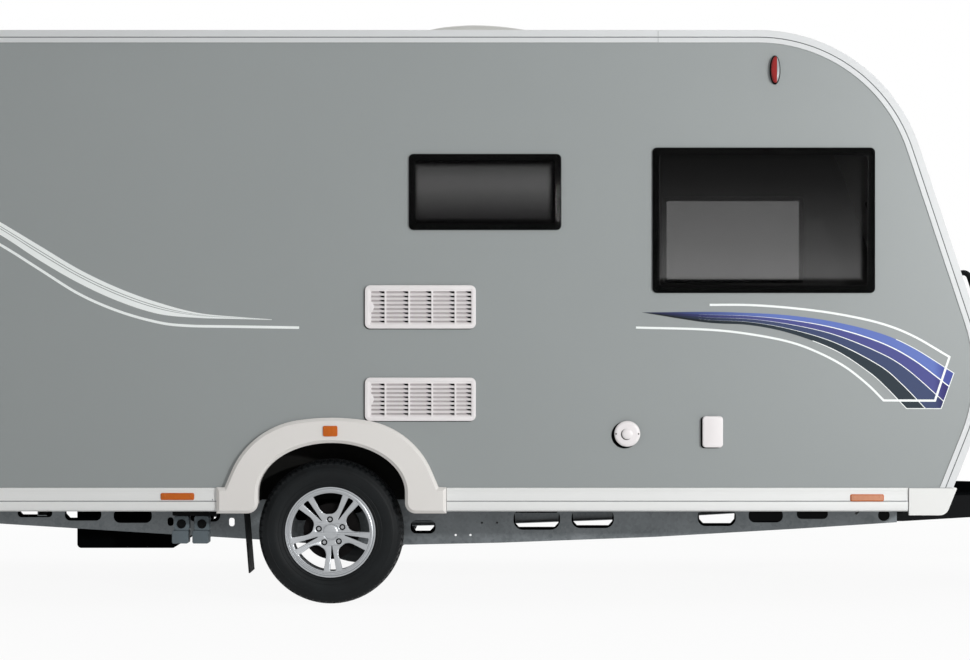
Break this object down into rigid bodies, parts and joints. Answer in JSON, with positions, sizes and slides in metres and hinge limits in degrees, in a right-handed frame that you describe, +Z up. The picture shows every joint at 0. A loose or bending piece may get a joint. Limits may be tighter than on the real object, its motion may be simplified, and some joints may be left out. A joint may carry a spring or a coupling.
{
  "type": "travel caravan",
  "caption": "Single-axle travel caravan: hollow panelled body with windows and door, galvanised chassis, A-frame drawbar, jockey wheel and corner steadies.",
  "frame": {"origin": "on the ground, under the middle of the overall length and width", "axes": "+X forward along the direction of travel, +Y to the caravan's left, +Z up"},
  "size_m": [6.7557, 2.393, 2.766],
  "materials": {
    "grey_panel": "mid grey gel coat, semi-gloss",
    "white_panel": "white gel coat, semi-gloss",
    "white_profile": "aluminium extrusion, white powder coat",
    "ply": "coated plywood",
    "black_moulding": "black moulded plastic",
    "black_frame": "black window frame, glossy",
    "tinted_acrylic": "grey tinted acrylic",
    "white_moulding": "white moulded plastic",
    "grey_moulding": "grey moulded plastic",
    "amber_lens": "amber lens",
    "red_lens": "red lens",
    "galvanised": "galvanised steel",
    "black_steel": "black coated steel",
    "silver_alloy": "silver lacquered cast alloy",
    "brake_iron": "cast iron",
    "tyre_rubber": "tyre rubber",
    "flap_rubber": "black rubber sheet"
  },
  "bodies": {
    "root": {"arch_reflectors": "amber_lens", "arch_trims": "white_panel", "axle_beam": "galvanised", "body_skirts": "white_profile", "chassis_rails": "galvanised", "coupling_head": "black_steel", "cross_members": "galvanised", "door_frame": "white_profile", "drain_boxes": "grey_moulding", "drawbar_cover": "black_moulding", "drawbar_left": "black_steel", "drawbar_right": "black_steel", "edge_trims": "white_profile", "end_valances": "white_panel", "floor_panel": "ply", "fridge_vents": "white_moulding", "front_wall": "white_panel", "gas_locker_box": "ply", "grab_handles": "black_moulding", "handbrake_lever": "black_steel", "jockey_mast": "galvanised", "mud_flaps": "flap_rubber", "outline_lamps": "red_lens", "overrun_device": "black_steel", "rear_lamps": "red_lens", "rear_wall": "white_panel", "roof_panel": "white_panel", "roof_unit": "white_moulding", "side_lamps": "amber_lens", "side_wall_left": "grey_panel", "side_wall_right": "grey_panel", "steady_bases": "galvanised", "swing_arms": "galvanised", "wall_fittings": "white_moulding", "waste_tank": "black_moulding", "wheel_boxes": "black_moulding", "window_frames": "black_frame", "window_panes": "tinted_acrylic"},
    "wheel_right": {"tyre_right": "tyre_rubber", "rim_right": "silver_alloy", "drum_right": "brake_iron"},
    "wheel_left": {"tyre_left": "tyre_rubber", "rim_left": "silver_alloy", "drum_left": "brake_iron"},
    "door": {"door_leaf": "white_panel", "door_pane": "tinted_acrylic", "door_handle": "black_moulding"},
    "locker_lid": {"locker_lid": "white_panel"},
    "jockey_leg": {"jockey_leg": "galvanised"},
    "jockey_fork": {"jockey_fork": "galvanised"},
    "jockey_wheel": {"jockey_wheel": "tyre_rubber"},
    "steady_leg_front_right": {"steady_leg_front_right": "galvanised"},
    "steady_brace_front_right": {"steady_brace_front_right": "galvanised"},
    "steady_leg_front_left": {"steady_leg_front_left": "galvanised"},
    "steady_brace_front_left": {"steady_brace_front_left": "galvanised"},
    "steady_leg_rear_right": {"steady_leg_rear_right": "galvanised"},
    "steady_brace_rear_right": {"steady_brace_rear_right": "galvanised"},
    "steady_leg_rear_left": {"steady_leg_rear_left": "galvanised"},
    "steady_brace_rear_left": {"steady_brace_rear_left": "galvanised"}
  },
  "joints": [
    {"name": "wheel_right_spin", "type": "hinge", "parent": "root", "child": "wheel_right", "pos_m": [-0.89, -1.0025, 0.334], "axis": [0, 1, 0], "continuous": true},
    {"name": "wheel_left_spin", "type": "hinge", "parent": "root", "child": "wheel_left", "pos_m": [-0.89, 1.0025, 0.334], "axis": [0, 1, 0], "continuous": true},
    {"name": "door_swing", "type": "hinge", "parent": "root", "child": "door", "pos_m": [0.247, 1.164, 1.44], "axis": [0, 0, -1], "range_deg": [0, 160]},
    {"name": "locker_lid_lift", "type": "hinge", "parent": "root", "child": "locker_lid", "pos_m": [2.10525, 0, 1.114], "axis": [0, -1, 0], "range_deg": [0, 75]},
    {"name": "jockey_slide", "type": "slide", "parent": "root", "child": "jockey_leg", "axis": [0, 0, 1], "range_m": [0, 0.085]},
    {"name": "jockey_swivel", "type": "hinge", "parent": "jockey_leg", "child": "jockey_fork", "pos_m": [2.76, -0.26575, 0.23], "axis": [0, 0, 1], "continuous": true},
    {"name": "jockey_roll", "type": "hinge", "parent": "jockey_fork", "child": "jockey_wheel", "pos_m": [2.715, -0.26575, 0.1075], "axis": [0, 1, 0], "continuous": true},
    {"name": "steady_front_right_drop", "type": "hinge", "parent": "root", "child": "steady_leg_front_right", "pos_m": [1.01, -0.85, 0.44], "axis": [0, 1, 0], "range_deg": [0, 45]},
    {"name": "steady_front_right_brace", "type": "hinge", "parent": "steady_leg_front_right", "child": "steady_brace_front_right", "pos_m": [1.31, -0.85, 0.44], "axis": [0, 1, 0], "range_deg": [-90, 0]},
    {"name": "steady_front_left_drop", "type": "hinge", "parent": "root", "child": "steady_leg_front_left", "pos_m": [1.01, 0.85, 0.44], "axis": [0, 1, 0], "range_deg": [0, 45]},
    {"name": "steady_front_left_brace", "type": "hinge", "parent": "steady_leg_front_left", "child": "steady_brace_front_left", "pos_m": [1.31, 0.85, 0.44], "axis": [0, 1, 0], "range_deg": [-90, 0]},
    {"name": "steady_rear_right_drop", "type": "hinge", "parent": "root", "child": "steady_leg_rear_right", "pos_m": [-2.61, -0.85, 0.44], "axis": [0, -1, 0], "range_deg": [0, 45]},
    {"name": "steady_rear_right_brace", "type": "hinge", "parent": "steady_leg_rear_right", "child": "steady_brace_rear_right", "pos_m": [-2.91, -0.85, 0.44], "axis": [0, -1, 0], "range_deg": [-90, 0]},
    {"name": "steady_rear_left_drop", "type": "hinge", "parent": "root", "child": "steady_leg_rear_left", "pos_m": [-2.61, 0.85, 0.44], "axis": [0, -1, 0], "range_deg": [0, 45]},
    {"name": "steady_rear_left_brace", "type": "hinge", "parent": "steady_leg_rear_left", "child": "steady_brace_rear_left", "pos_m": [-2.91, 0.85, 0.44], "axis": [0, -1, 0], "range_deg": [-90, 0]}
  ],
  "couplings": [
    {"joint": "steady_front_right_brace", "follows": "steady_front_right_drop", "ratio": -2},
    {"joint": "steady_front_left_brace", "follows": "steady_front_left_drop", "ratio": -2},
    {"joint": "steady_rear_right_brace", "follows": "steady_rear_right_drop", "ratio": -2},
    {"joint": "steady_rear_left_brace", "follows": "steady_rear_left_drop", "ratio": -2}
  ]
}
